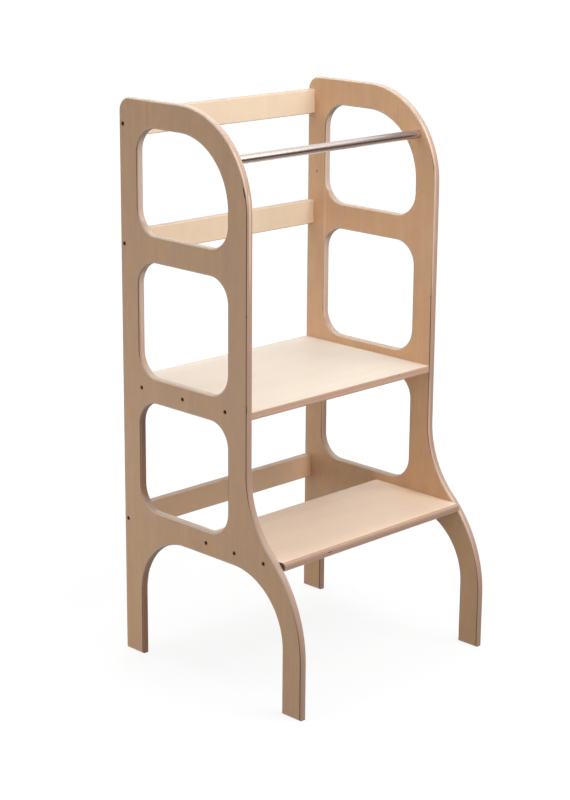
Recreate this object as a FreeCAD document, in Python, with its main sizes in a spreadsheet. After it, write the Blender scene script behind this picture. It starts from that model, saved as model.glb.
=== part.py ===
import FreeCAD, Part
import math
import os

import Sketcher
from FreeCAD import Placement, Rotation, Vector

# A toddler's kitchen helper stool (a learning tower) of screwed birch plywood: two cut-out side
# panels, a standing platform, a lower step, three back rails and a steel hand bar.
#
# Part frame: millimetres, X across the stool, -Y to its front, Z up. The origin is on the floor
# under the middle of the footprint. Every piece is drawn in its own frame, where x runs forward
# from the back of the stool, y runs across it and z runs up, and is then turned into place.

SIZES = {
    # the whole stool
    "overall_height": 900.0,
    "overall_depth": 400.0,
    "upper_depth": 282.0,
    "clear_width": 400.0,
    "board_thickness": 12.0,
    # edges and clearances
    "panel_arris": 2.5,
    "rail_arris": 1.5,
    "shelf_arris": 0.8,
    "fit_clearance": 0.1,
    # side panels
    "back_corner_radius": 22.0,
    "back_stile_width": 41.0,
    "front_stile_width": 41.5,
    "front_leg_width": 40.0,
    "top_band_width": 42.0,
    "rail_band_width": 42.0,
    "shelf_band_width": 40.5,
    "window_radius": 39.0,
    "upper_window_straight": 19.2,
    "sweep_top_height": 360.0,
    "leg_straight_height": 90.0,
    "leg_sweep_radius": 212.0,
    "back_arch_radius": 101.0,
    "front_arch_radius": 107.0,
    # platform and step, each height to its upper face
    "platform_height": 456.0,
    "platform_depth": 280.0,
    "step_height": 236.6,
    "step_depth": 182.0,
    "step_setback": 47.0,
    "nose_radius": 6.0,
    # back rails, each place to the rail's middle; the middle one sits below half of the upper part
    "rail_width": 40.0,
    "top_rail_drop": 41.0,
    "middle_rail_drop": 4.2,
    "lower_rail_height": 225.0,
    # hand bar, placed by its distance from the shoulder's edge and its angle round the shoulder
    "bar_diameter": 14.0,
    "bar_edge_distance": 15.0,
    "bar_angle": 35.0,
    "bar_chamfer": 0.8,
    "bar_socket_depth": 8.0,
    "bar_end_play": 0.3,
    # screws
    "screw_diameter": 3.5,
    "screw_head_diameter": 5.8,
    "screw_head_rim": 0.4,
    "screw_length": 40.0,
    "screw_tip_length": 5.0,
    "screw_sink": 0.8,
    "screw_hole_spare": 1.0,
    "key_width": 2.5,
    "key_depth": 1.6,
    "platform_screw_spacing": 95.0,
    "step_screw_spacing": 63.3,
    "step_screw_back_inset": 21.0,
    # dowels beside each rail screw
    "dowel_diameter": 6.0,
    "dowel_chamfer": 0.8,
    "dowel_panel_depth": 8.0,
    "dowel_rail_depth": 17.0,
    "dowel_end_play": 0.5,
    "dowel_offset": 12.0,
}

TOLERANCE = 1e-6


class Size:
    """A length or an angle with the spreadsheet expression that gives it."""

    def __init__(self, value, formula):
        self.value = value
        self.formula = formula

    def joined(self, other, sign, value):
        return Size(value, f"({self.formula} {sign} {as_size(other).formula})")

    def __add__(self, other):
        return self.joined(other, "+", self.value + as_size(other).value)

    def __sub__(self, other):
        return self.joined(other, "-", self.value - as_size(other).value)

    def __mul__(self, other):
        return self.joined(other, "*", self.value * as_size(other).value)

    def __truediv__(self, other):
        return self.joined(other, "/", self.value / as_size(other).value)

    def __neg__(self):
        return Size(-self.value, f"(-{self.formula})")


def as_size(number):
    return number if isinstance(number, Size) else Size(float(number), f"{float(number)}")


def sine(angle):
    return Size(math.sin(math.radians(angle.value)), f"sin({angle.formula} * 1 deg)")


def cosine(angle):
    return Size(math.cos(math.radians(angle.value)), f"cos({angle.formula} * 1 deg)")


def make_sheet(doc):
    sheet = doc.addObject("Spreadsheet::Sheet", "sizes")
    for row, (alias, value) in enumerate(SIZES.items(), start=1):
        sheet.set(f"A{row}", alias)
        sheet.set(f"B{row}", f"{value}")
        sheet.setAlias(f"B{row}", alias)


def bind(target, path, size):
    """Gives a property its number and ties it to the sheet."""
    target.setExpression(path, size.formula)


doc = FreeCAD.newDocument("kitchen_helper_stool")
make_sheet(doc)
doc.recompute()
s = {alias: Size(value, f"sizes.{alias}") for alias, value in SIZES.items()}
nothing = as_size(0)

# Places worked out from the driving sizes. Depths run forward from the back of the panels.

half_outer_width = s["clear_width"] / 2 + s["board_thickness"]
half_depth = s["overall_depth"] / 2
half_board = s["board_thickness"] / 2

platform_middle = s["platform_height"] - half_board
step_middle = s["step_height"] - half_board
step_back = s["overall_depth"] - s["step_setback"] - s["step_depth"]
top_rail_height = s["overall_height"] - s["top_rail_drop"]
half_upper_height = (s["platform_height"] + s["overall_height"]) / 2
middle_rail_height = half_upper_height - s["middle_rail_drop"]
rail_heights = [top_rail_height, middle_rail_height, s["lower_rail_height"]]
rail_setback = s["panel_arris"]
rail_middle_depth = rail_setback + half_board

# The shoulder is as large as the upper window under it leaves room for.
half_rail_band = s["rail_band_width"] / 2
upper_window_foot = middle_rail_height + half_rail_band
upper_window_lower_part = s["window_radius"] + s["upper_window_straight"]
shoulder_radius = s["overall_height"] - upper_window_foot - upper_window_lower_part

bar_reach = shoulder_radius - s["bar_edge_distance"]
bar_depth = s["upper_depth"] - shoulder_radius + bar_reach * cosine(s["bar_angle"])
bar_height = s["overall_height"] - shoulder_radius + bar_reach * sine(s["bar_angle"])

platform_screw_places = [
    (s["platform_depth"] / 2 + s["platform_screw_spacing"] * step, platform_middle)
    for step in (-1, 0, 1)
]
step_screw_places = [
    (step_back + s["step_screw_back_inset"] + s["step_screw_spacing"] * step, step_middle)
    for step in (0, 1, 2)
]
rail_screw_places = [(rail_middle_depth, height) for height in rail_heights]
rail_dowel_places = [
    (rail_middle_depth, height + s["dowel_offset"] * side)
    for height in rail_heights
    for side in (-1, 1)
]

screw_reach = s["screw_sink"] + s["screw_length"] - s["board_thickness"]
screw_hole_depth = screw_reach + s["screw_hole_spare"]


# Sketches

def new_body(name):
    body = doc.addObject("PartDesign::Body", name)
    body.Label = name
    return body


def origin_part(body, role):
    return next(feature for feature in body.Origin.OriginFeatures if feature.Role == role)


def new_sketch(body, name, plane="XZ_Plane", offset=nothing):
    """A sketch on a plane of the body's own origin, moved along the plane's normal."""
    sketch = body.newObject("Sketcher::SketchObject", name)
    sketch.AttachmentSupport = [(origin_part(body, plane), "")]
    sketch.MapMode = "FlatFace"
    sketch.AttachmentOffset = Placement(Vector(0, 0, offset.value), Rotation())
    bind(sketch, "AttachmentOffset.Base.z", offset)
    return sketch


def hold(sketch, kind, ids, size):
    """A dimension of the sketch, tied to the sheet."""
    index = sketch.addConstraint(Sketcher.Constraint(kind, *ids, size.value))
    sketch.setExpression(f"Constraints[{index}]", size.formula)


def hold_point(sketch, axis, geometry, point, size):
    """Holds one coordinate of a point. A coordinate of nothing puts it on the sketch's axis."""
    if size is nothing:
        line = -2 if axis == "x" else -1
        sketch.addConstraint(Sketcher.Constraint("PointOnObject", geometry, point, line))
    else:
        kind = "DistanceX" if axis == "x" else "DistanceY"
        hold(sketch, kind, (-1, 1, geometry, point), size)


def add_line(sketch, start, end):
    return sketch.addGeometry(Part.LineSegment(Vector(*start, 0), Vector(*end, 0)))


def add_arc(sketch, centre, radius, start, end):
    """An arc walked from start to end the short way round. Says which of its ends comes first."""
    first, last = [math.atan2(p[1] - centre[1], p[0] - centre[0]) for p in (start, end)]
    turns_left = math.sin(last - first) > 0
    low, high = (first, last) if turns_left else (last, first)
    circle = Part.Circle(Vector(*centre, 0), Vector(0, 0, 1), radius)
    geometry = sketch.addGeometry(Part.ArcOfCircle(circle, low, high))
    return (geometry, 1, 2) if turns_left else (geometry, 2, 1)


def add_polygon(sketch, points):
    """A closed polygon, every corner of which is held by two sizes."""
    places = [(x.value, y.value) for x, y in points]
    lines = [add_line(sketch, *pair) for pair in zip(places, places[1:] + places[:1])]
    for line, following in zip(lines, lines[1:] + lines[:1]):
        sketch.addConstraint(Sketcher.Constraint("Coincident", line, 2, following, 1))
    for line, (x, y) in zip(lines, points):
        hold_point(sketch, "x", line, 1, x)
        hold_point(sketch, "y", line, 1, y)


class Side:
    """One straight side of a rounded outline, upright (at an x) or level (at a y)."""

    def __init__(self, axis, place, corner=None, sweep=None):
        self.axis = axis
        self.place = place
        self.corner = corner
        self.sweep = sweep


class Sweep:
    """Two tangent arcs that carry one upright side over to the next."""

    def __init__(self, start_height, end_height, end_radius):
        self.start_height = start_height
        self.end_height = end_height
        self.end_radius = end_radius


def crossing(side, following):
    """The corner where two sides would meet, or the two ends of the sweep between them."""
    if side.sweep:
        leave = (side.place.value, side.sweep.start_height.value)
        return leave, (following.place.value, side.sweep.end_height.value)
    level, upright = (side, following) if side.axis == "y" else (following, side)
    point = (upright.place.value, level.place.value)
    return point, point


def moved(start, target, distance):
    """The point at a distance from start on the way to target."""
    length = math.dist(start, target)
    return tuple(a + (b - a) * distance / length for a, b in zip(start, target))


def add_sweep(sketch, line, following, start, end, sweep):
    """The two tangent arcs of a sweep, with the second one's radius and both heights held."""
    across, down = end[0] - start[0], start[1] - end[1]
    end_radius = sweep.end_radius.value
    start_radius = (across ** 2 + down ** 2) / (2 * across) - end_radius
    first_centre = (start[0] + start_radius, start[1])
    last_centre = (end[0] - end_radius, end[1])
    middle = moved(first_centre, last_centre, start_radius)
    first, first_in, first_out = add_arc(sketch, first_centre, start_radius, start, middle)
    last, last_in, last_out = add_arc(sketch, last_centre, end_radius, middle, end)
    sketch.addConstraint(Sketcher.Constraint("Tangent", line, 2, first, first_in))
    sketch.addConstraint(Sketcher.Constraint("Tangent", first, first_out, last, last_in))
    sketch.addConstraint(Sketcher.Constraint("Tangent", last, last_out, following, 1))
    hold_point(sketch, "y", line, 2, sweep.start_height)
    hold_point(sketch, "y", following, 1, sweep.end_height)
    hold(sketch, "Radius", (last,), sweep.end_radius)


def add_outline(sketch, sides):
    """A closed outline of upright and level sides, joined by corners, round corners or sweeps."""
    count = len(sides)
    following = [(index + 1) % count for index in range(count)]
    crossings = [crossing(sides[i], sides[following[i]]) for i in range(count)]
    radii = [side.corner.value if side.corner else 0.0 for side in sides]
    lines = []
    for i in range(count):
        arrive, leave = crossings[i - 1][1], crossings[i][0]
        start = moved(arrive, leave, radii[i - 1])
        end = moved(leave, arrive, radii[i])
        lines.append(add_line(sketch, start, end))
        rule = "Vertical" if sides[i].axis == "x" else "Horizontal"
        sketch.addConstraint(Sketcher.Constraint(rule, lines[i]))
        hold_point(sketch, sides[i].axis, lines[i], 1, sides[i].place)
    for i in range(count):
        line, after = lines[i], lines[following[i]]
        leave, arrive = crossings[i]
        if sides[i].sweep:
            add_sweep(sketch, line, after, leave, arrive, sides[i].sweep)
        elif sides[i].corner:
            before, beyond = crossings[i - 1][1], crossings[following[i]][0]
            start, end = moved(leave, before, radii[i]), moved(leave, beyond, radii[i])
            centre = (start[0] + end[0] - leave[0], start[1] + end[1] - leave[1])
            arc, arc_in, arc_out = add_arc(sketch, centre, radii[i], start, end)
            sketch.addConstraint(Sketcher.Constraint("Tangent", line, 2, arc, arc_in))
            sketch.addConstraint(Sketcher.Constraint("Tangent", arc, arc_out, after, 1))
            hold(sketch, "Radius", (arc,), sides[i].corner)
        else:
            sketch.addConstraint(Sketcher.Constraint("Coincident", line, 2, after, 1))


def add_circles(sketch, places, diameter):
    """Circles centred on the places, all of one diameter."""
    for x, y in places:
        centre = Vector(x.value, y.value, 0)
        circle = sketch.addGeometry(Part.Circle(centre, Vector(0, 0, 1), diameter.value / 2))
        hold_point(sketch, "x", circle, 3, x)
        hold_point(sketch, "y", circle, 3, y)
        hold(sketch, "Radius", (circle,), diameter / 2)


# Features

def pad(body, sketch, length, side_type="One side", reverse=False):
    feature = body.newObject("PartDesign::Pad", f"{sketch.Name}_pad")
    feature.Profile = sketch
    feature.SideType = side_type
    feature.Reversed = reverse
    bind(feature, "Length", length)
    doc.recompute()
    return feature


def cut_from(body, sketch, depth=None, reverse=False):
    """A pocket of a stated depth, or right through, that has to take something away."""
    before = body.Shape.Volume
    feature = body.newObject("PartDesign::Pocket", f"{sketch.Name}_cut")
    feature.Profile = sketch
    feature.Reversed = reverse
    if depth is None:
        feature.Type = "ThroughAll"
    else:
        bind(feature, "Length", depth)
    doc.recompute()
    if body.Shape.Volume > before - TOLERANCE:
        raise ValueError(f"{feature.Name} takes nothing away")
    return feature


def lies_in_plane(edge, place):
    box = edge.BoundBox
    return abs(box.YMin - place) < TOLERANCE and abs(box.YMax - place) < TOLERANCE


def round_face_edges(body, feature, places, radius):
    """Rounds every edge that lies in one of the planes at these places across the stool."""
    names = [
        f"Edge{number}"
        for number, edge in enumerate(feature.Shape.Edges, start=1)
        if any(lies_in_plane(edge, place) for place in places)
    ]
    fillet = body.newObject("PartDesign::Fillet", f"{body.Name}_arrises")
    fillet.Base = (feature, names)
    bind(fillet, "Radius", radius)
    doc.recompute()


def drill_screw_seats(body, places, inward):
    """Clearance holes right through the panel, with a sunk conical seat for each screw's head."""
    before = body.Shape.Volume
    sketch = new_sketch(body, f"{body.Name}_screw_holes")
    add_circles(sketch, places, s["screw_diameter"])
    doc.recompute()
    hole = body.newObject("PartDesign::Hole", f"{body.Name}_screw_seats")
    hole.Profile = sketch
    doc.recompute()
    hole.DepthType = "ThroughAll"
    hole.HoleCutType = "Counterdrill"
    hole.HoleCutCustomValues = True
    hole.HoleCutCountersinkAngle = 90
    hole.Reversed = inward
    bind(hole, "Diameter", s["screw_diameter"] + s["fit_clearance"] * 2)
    bind(hole, "HoleCutDiameter", s["screw_head_diameter"] + s["fit_clearance"] * 2)
    bind(hole, "HoleCutDepth", s["screw_sink"] + s["screw_head_rim"])
    doc.recompute()
    if body.Shape.Volume > before - TOLERANCE:
        raise ValueError(f"{hole.Name} takes nothing away")


def place_in_part(target, across, height=nothing):
    """Turns a piece's own frame into the part's, at a distance across and a height."""
    target.Placement = Placement(Vector(), Rotation(Vector(0, 0, 1), -90))
    bind(target, "Placement.Base.x", across)
    bind(target, "Placement.Base.y", half_depth)
    bind(target, "Placement.Base.z", height)


# Side panels

def panel_outline():
    """The panel's edge, walked up the back, over the top, down the front and under the arch."""
    sweep = Sweep(s["sweep_top_height"], s["leg_straight_height"], s["leg_sweep_radius"])
    arch_top = step_middle - s["shelf_band_width"] / 2
    return [
        Side("x", nothing, corner=s["back_corner_radius"]),
        Side("y", s["overall_height"], corner=shoulder_radius),
        Side("x", s["upper_depth"], sweep=sweep),
        Side("x", s["overall_depth"]),
        Side("y", nothing),
        Side("x", s["overall_depth"] - s["front_leg_width"], corner=s["front_arch_radius"]),
        Side("y", arch_top, corner=s["back_arch_radius"]),
        Side("x", s["back_stile_width"]),
        Side("y", nothing),
    ]


def window_outlines():
    """The three windows, each between the bands that carry the rail, the platform and the step."""
    half_shelf_band = s["shelf_band_width"] / 2
    spans = {
        "lower_window": (step_middle + half_shelf_band, platform_middle - half_shelf_band),
        "middle_window": (platform_middle + half_shelf_band,
                          middle_rail_height - half_rail_band),
        "upper_window": (upper_window_foot, s["overall_height"] - s["top_band_width"]),
    }
    shoulder = {"upper_window": shoulder_radius - s["top_band_width"]}
    for name, (bottom, top) in spans.items():
        radius = s["window_radius"]
        yield name, [
            Side("x", s["back_stile_width"], corner=radius),
            Side("y", top, corner=shoulder.get(name, radius)),
            Side("x", s["upper_depth"] - s["front_stile_width"], corner=radius),
            Side("y", bottom, corner=radius),
        ]


def make_side_panel(name, toward_left):
    """A panel drawn on its outer face. toward_left is true where its thickness runs to the left."""
    body = new_body(name)
    inner_face = s["board_thickness"] if toward_left else -s["board_thickness"]
    board = new_sketch(body, f"{name}_board")
    add_outline(board, panel_outline())
    feature = pad(body, board, s["board_thickness"], reverse=not toward_left)
    for window_name, outline in window_outlines():
        window = new_sketch(body, f"{name}_{window_name}")
        add_outline(window, outline)
        feature = cut_from(body, window, reverse=toward_left)
    faces = [0.0, -inner_face.value]
    round_face_edges(body, feature, faces, s["panel_arris"])
    places = platform_screw_places + step_screw_places + rail_screw_places
    drill_screw_seats(body, places, inward=toward_left)

    socket = new_sketch(body, f"{name}_bar_socket", offset=inner_face)
    add_circles(socket, [(bar_depth, bar_height)], s["bar_diameter"] + s["fit_clearance"] * 2)
    cut_from(body, socket, s["bar_socket_depth"], reverse=not toward_left)
    pegs = new_sketch(body, f"{name}_dowel_holes", offset=inner_face)
    add_circles(pegs, rail_dowel_places, s["dowel_diameter"] + s["fit_clearance"] * 2)
    cut_from(body, pegs, s["dowel_panel_depth"], reverse=not toward_left)
    across = half_outer_width if toward_left else -half_outer_width
    place_in_part(body, across)
    return body


# Boards between the panels

def make_board(name, depth, width, back, radii, screws, dowels, bottom):
    """A board drawn by its side view, as wide as the clear width, with holes in both its ends.

    radii are those of the corners of the side view, from the top at the back round to the
    bottom at the back. screws and dowels are the places of the holes in the board's own frame.
    """
    body = new_body(name)
    section = new_sketch(body, f"{name}_section")
    top_back, top_front, bottom_front, bottom_back = radii
    add_outline(section, [
        Side("x", back, corner=top_back),
        Side("y", width, corner=top_front),
        Side("x", back + depth, corner=bottom_front),
        Side("y", nothing, corner=bottom_back),
    ])
    pad(body, section, s["clear_width"], side_type="Symmetric")
    end_face = s["clear_width"] / 2
    cuts = []
    for kind, places, diameter, hole_depth in (
        ("screw", screws, s["screw_diameter"], screw_hole_depth),
        ("dowel", dowels, s["dowel_diameter"], s["dowel_rail_depth"]),
    ):
        if places:
            holes = new_sketch(body, f"{name}_{kind}_holes", offset=end_face)
            add_circles(holes, places, diameter + s["fit_clearance"] * 2)
            cuts.append(cut_from(body, holes, hole_depth))
    mirror = body.newObject("PartDesign::Mirrored", f"{name}_other_end")
    mirror.Originals = cuts
    mirror.MirrorPlane = (origin_part(body, "XZ_Plane"), [""])
    body.Tip = mirror
    doc.recompute()
    place_in_part(body, nothing, bottom)
    return body


def make_platform():
    arris = s["shelf_arris"]
    screws = [(depth, half_board) for depth, height in platform_screw_places]
    bottom = s["platform_height"] - s["board_thickness"]
    return make_board("standing_platform", s["platform_depth"], s["board_thickness"], nothing,
                      [arris] * 4, screws, [], bottom)


def make_step():
    arris = s["shelf_arris"]
    screws = [(depth, half_board) for depth, height in step_screw_places]
    bottom = s["step_height"] - s["board_thickness"]
    return make_board("lower_step", s["step_depth"], s["board_thickness"], step_back,
                      [arris, s["nose_radius"], arris, arris], screws, [], bottom)


def make_rail(name, middle_height):
    half_width = s["rail_width"] / 2
    screws = [(rail_middle_depth, half_width)]
    dowels = [(rail_middle_depth, half_width + s["dowel_offset"] * side) for side in (-1, 1)]
    return make_board(name, s["board_thickness"], s["rail_width"], rail_setback,
                      [s["rail_arris"]] * 4, screws, dowels, middle_height - half_width)


# Turned pieces, each drawn by its half profile with its axis along x

def make_turned(name, profile):
    """Turns a half profile, given as (place along the axis, radius) from one end to the other."""
    body = new_body(name)
    half = new_sketch(body, f"{name}_half_profile", plane="XY_Plane")
    add_polygon(half, profile)
    turned = body.newObject("PartDesign::Revolution", f"{name}_turned")
    turned.Profile = half
    turned.ReferenceAxis = (half, ["H_Axis"])
    turned.Angle = 360
    doc.recompute()
    return body


def chamfered_rod(length, radius, chamfer):
    return [
        (nothing, nothing),
        (nothing, radius - chamfer),
        (chamfer, radius),
        (length - chamfer, radius),
        (length, radius - chamfer),
        (length, nothing),
    ]


def make_screw():
    """A countersunk wood screw, its head's upper face at nothing and its tip along x."""
    head, shank = s["screw_head_diameter"] / 2, s["screw_diameter"] / 2
    rim, length = s["screw_head_rim"], s["screw_length"]
    body = make_turned("screw_form", [
        (nothing, nothing),
        (nothing, head),
        (rim, head),
        (rim + head - shank, shank),
        (length - s["screw_tip_length"], shank),
        (length, nothing),
    ])
    recess = new_sketch(body, "key_recess", plane="YZ_Plane")
    corner_radius = s["key_width"] / math.sqrt(3)
    corners = [math.radians(60 * number) for number in range(6)]
    add_polygon(recess, [
        (corner_radius * math.cos(angle), corner_radius * math.sin(angle)) for angle in corners
    ])
    cut_from(body, recess, s["key_depth"], reverse=True)
    return body


def make_dowel():
    """A dowel with half its end play clear of the bottom of each of its two holes."""
    length = s["dowel_panel_depth"] + s["dowel_rail_depth"] - s["dowel_end_play"] * 2
    profile = chamfered_rod(length, s["dowel_diameter"] / 2, s["dowel_chamfer"])
    return make_turned("dowel_form", profile)


def make_hand_bar():
    length = s["clear_width"] + (s["bar_socket_depth"] - s["bar_end_play"]) * 2
    profile = chamfered_rod(length, s["bar_diameter"] / 2, s["bar_chamfer"])
    body = make_turned("steel_hand_bar", profile)
    bind(body, "Placement.Base.x", -length / 2)
    bind(body, "Placement.Base.y", half_depth - bar_depth)
    bind(body, "Placement.Base.z", bar_height)
    return body


def make_group(name, form, places, start, on_left):
    """Copies of one fastener in one node, each run inwards from a distance across the stool."""
    copies = []
    for number, (depth, height) in enumerate(places, start=1):
        copy = doc.addObject("App::Link", f"{name}_{number}")
        copy.LinkedObject = form
        copy.Placement = Placement(Vector(), Rotation(Vector(0, 0, 1), 0 if on_left else 180))
        bind(copy, "Placement.Base.x", -start if on_left else start)
        bind(copy, "Placement.Base.y", half_depth - depth)
        bind(copy, "Placement.Base.z", height)
        copies.append(copy)
    group = doc.addObject("Part::Compound", name)
    group.Label = name
    group.Links = copies
    return group


def make_fasteners():
    screw, dowel = make_screw(), make_dowel()
    head_face = half_outer_width - s["screw_sink"]
    dowel_end = s["clear_width"] / 2 + s["dowel_panel_depth"] - s["dowel_end_play"]
    groups = []
    for hand, on_left in (("left", True), ("right", False)):
        for kind, form, places, start in (
            ("platform_screws", screw, platform_screw_places, head_face),
            ("step_screws", screw, step_screw_places, head_face),
            ("rail_screws", screw, rail_screw_places, head_face),
            ("rail_dowels", dowel, rail_dowel_places, dowel_end),
        ):
            groups.append(make_group(f"{hand}_{kind}", form, places, start, on_left))
    return groups


# The stool

def check_document():
    for item in doc.Objects:
        if "Invalid" in item.State or "Error" in item.State:
            raise ValueError(f"{item.Name} failed: {item.State}")
        if item.TypeId == "Sketcher::SketchObject" and not item.FullyConstrained:
            raise ValueError(f"{item.Name} is not fully constrained")


def write_pieces(pieces):
    os.makedirs("parts", exist_ok=True)
    for piece in pieces:
        if piece.Shape.isNull() or not piece.Shape.isValid():
            raise ValueError(f"{piece.Label} has no valid shape")
    for piece in pieces:
        piece.Shape.exportStep(f"parts/{piece.Label}.step")
        solids = len(piece.Shape.Solids)
        print(f"{piece.Label}: {solids} solid(s), {piece.Shape.Volume / 1000:.1f} cm3")


def main():
    pieces = [
        make_side_panel("left_side_panel", toward_left=False),
        make_side_panel("right_side_panel", toward_left=True),
        make_platform(),
        make_step(),
        make_rail("top_back_rail", top_rail_height),
        make_rail("middle_back_rail", middle_rail_height),
        make_rail("lower_back_rail", s["lower_rail_height"]),
        make_hand_bar(),
    ]
    pieces.extend(make_fasteners())
    doc.recompute()
    check_document()
    write_pieces(pieces)


main()
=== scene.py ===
import math

import bmesh
import bpy
from bpy.props import (
    FloatProperty,
    FloatVectorProperty,
    IntProperty,
    PointerProperty,
)
from mathutils import Matrix, Vector


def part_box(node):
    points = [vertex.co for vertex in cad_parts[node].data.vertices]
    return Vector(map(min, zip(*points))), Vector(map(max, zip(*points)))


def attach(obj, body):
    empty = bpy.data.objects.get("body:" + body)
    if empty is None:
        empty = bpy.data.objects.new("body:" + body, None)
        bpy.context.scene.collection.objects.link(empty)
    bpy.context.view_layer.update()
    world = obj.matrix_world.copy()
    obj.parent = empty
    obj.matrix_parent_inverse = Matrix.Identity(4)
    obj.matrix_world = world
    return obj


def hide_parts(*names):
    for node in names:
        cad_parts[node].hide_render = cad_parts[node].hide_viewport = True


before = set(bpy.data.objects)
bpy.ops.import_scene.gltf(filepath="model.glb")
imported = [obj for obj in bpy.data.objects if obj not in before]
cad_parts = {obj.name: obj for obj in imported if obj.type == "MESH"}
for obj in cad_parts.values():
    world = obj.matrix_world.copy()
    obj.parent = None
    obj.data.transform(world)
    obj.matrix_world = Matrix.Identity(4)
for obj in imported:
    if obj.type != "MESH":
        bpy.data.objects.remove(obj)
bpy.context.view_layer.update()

bl_info = {
    "name": "Kitchen Helper Stool",
    "version": (1, 0, 0),
    "blender": (4, 5, 0),
    "location": "View3D > Sidebar > Stool",
    "description": "Finishes the birch plywood kitchen helper stool and sets up its studio",
    "category": "Object",
}

BODY = "root"
MM = 0.001
SIDES = ("left", "right")
RAILS = ("top", "middle", "lower")
WHITE = (1.0, 1.0, 1.0)


# Sizes and colours that a user would change

def length_property(name, description, default):
    return FloatProperty(
        name=name,
        description=description,
        default=default,
        min=0.0,
        subtype="DISTANCE",
        unit="LENGTH",
        precision=5,
    )


def angle_property(name, description, degrees):
    return FloatProperty(
        name=name,
        description=description,
        default=math.radians(degrees),
        subtype="ANGLE",
        unit="ROTATION",
    )


def colour_property(name, description, default):
    return FloatVectorProperty(
        name=name,
        description=description,
        default=default,
        size=3,
        min=0.0,
        max=1.0,
        subtype="COLOR",
    )


def share_property(name, description, default):
    return FloatProperty(
        name=name,
        description=description,
        default=default,
        min=0.0,
        max=1.0,
        subtype="FACTOR",
    )


def glow_property(name, description, default):
    return FloatProperty(name=name, description=description, default=default, min=0.0)


class PlywoodSettings(bpy.types.PropertyGroup):
    """The birch plywood of all the boards"""

    crossband: length_property(
        "Crossband", "Depth of the bottom of the veneer under a face", 0.65 * MM
    )
    plies: IntProperty(
        name="Plies",
        description="Number of veneers between the two crossbands",
        default=7,
        min=1,
    )
    # All the boards are one birch plywood; each board's face colour is set on its own as painted
    # light and shade: the panels' darker and more saturated for the shade they stand in, the
    # platform's paler for the light from above, and the lowest rail's more orange, a painted
    # bounce light in its shade
    panel_wood: colour_property(
        "Panel wood", "Face veneer of the side panels", (0.668, 0.4125, 0.2505)
    )
    platform_wood: colour_property(
        "Platform wood", "Face veneer of the standing platform", (0.622, 0.54, 0.46)
    )
    step_wood: colour_property(
        "Step wood", "Face veneer of the lower step", (0.82, 0.63, 0.486)
    )
    rail_wood: colour_property(
        "Rail wood", "Face veneer of the two upper back rails", (0.83, 0.65, 0.48)
    )
    lower_rail_wood: colour_property(
        "Lower rail wood", "Face veneer of the lowest back rail", (0.95, 0.64, 0.42)
    )
    side_grain: colour_property(
        "Side grain", "Cut edge of a veneer along its fibres", (0.67, 0.43, 0.31)
    )
    end_grain: colour_property(
        "End grain", "Cut edge of a veneer across its fibres", (0.56, 0.345, 0.245)
    )
    # The ends' grain, kept pale as a painted sheen on them
    butt_grain_and_sheen: colour_property(
        "Butt grain", "Sanded ends of a board", (0.62, 0.495, 0.395)
    )
    # A painted sheen: the pale crest of the ends stands in for light off their rounded corners
    crest: colour_property(
        "Crest", "Rounded corner between a face and a sanded end", (0.80, 0.63, 0.50)
    )
    dark_line: colour_property(
        "Dark line", "Crossband laid bare along a rounded edge", (0.13, 0.05, 0.018)
    )
    glue: colour_property("Glue", "Glue line between two veneers", (0.22, 0.12, 0.08))
    roughness: share_property("Roughness", "Roughness of the matt clear lacquer", 0.52)


class FittingSettings(bpy.types.PropertyGroup):
    """The hand bar, the screws and the dowels"""

    bar_colour: colour_property("Bar colour", "Ground stainless steel", (0.70, 0.63, 0.60))
    bar_roughness: share_property("Bar roughness", "Roughness of the ground steel", 0.22)
    # The screws' colour is browner than the steel, partly a painted reflection of the wood round
    # them
    screw_colour: colour_property("Screw colour", "Dark phosphated steel", (0.09, 0.026, 0.003))
    rubbed_steel: colour_property("Rubbed steel", "Where a driver has rubbed", (0.14, 0.06, 0.025))
    dowel_colour: colour_property("Dowel colour", "Turned beech", (0.56, 0.33, 0.18))
    thread_radius: length_property("Thread radius", "Radius of the crest of a thread", 1.75 * MM)
    core_radius: length_property("Core radius", "Radius of the core under a thread", 1.15 * MM)
    shank_radius: length_property("Shank radius", "Radius of the plain neck", 1.25 * MM)
    neck: length_property("Neck", "Length of a screw without a thread", 9.0 * MM)
    pitch: length_property("Pitch", "Length of one turn of a thread", 1.8 * MM)
    point: length_property("Point", "Length of a screw's point", 4.0 * MM)
    rim: length_property("Rim", "Height of the upright rim of a head", 0.4 * MM)
    chamfer: length_property("Chamfer", "Broken edge of a head and its key", 0.15 * MM)
    key_width: length_property("Key width", "Width across the flats of a hex socket", 2.5 * MM)
    key_depth: length_property("Key depth", "Depth of a hex socket", 1.6 * MM)


class StudioSettings(bpy.types.PropertyGroup):
    """The camera, the lamps and the floor"""

    camera_place: FloatVectorProperty(
        name="Camera place",
        description="Where the camera stands",
        default=(-2.1559, -2.1057, 1.2747),
        subtype="TRANSLATION",
        unit="LENGTH",
    )
    camera_heading: angle_property("Heading", "Turn of the camera from +Y towards +X", 45.004)
    camera_dip: angle_property("Dip", "How far the camera looks down", 15.832)
    camera_roll: angle_property("Roll", "Turn of the camera about its own axis", 0.459)
    camera_lens: FloatProperty(
        name="Lens",
        description="Focal length on a 36 mm frame",
        default=88.785,
        unit="CAMERA",
    )
    ambient: glow_property("Ambient", "Strength of the soft light from all round", 0.4)
    front_glow: glow_property("Front glow", "Soft box above the front", 3.6)
    low_glow: glow_property("Low glow", "Soft box in front of the hand bar", 1.8)
    top_glow: glow_property("Top glow", "Soft box overhead", 0.58)
    back_glow: glow_property("Back glow", "Soft box above the back", 3.0)
    side_glow: glow_property("Side glow", "Soft box at the back on the left", 1.2)
    foot_glow: glow_property("Foot glow", "Low strip beside the left legs", 0.75)
    sheen_glow: glow_property("Sheen glow", "White card that the steel mirrors", 1.2)
    floor_size: length_property("Floor size", "Side of the square floor", 40.0)


# Node trees

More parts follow.
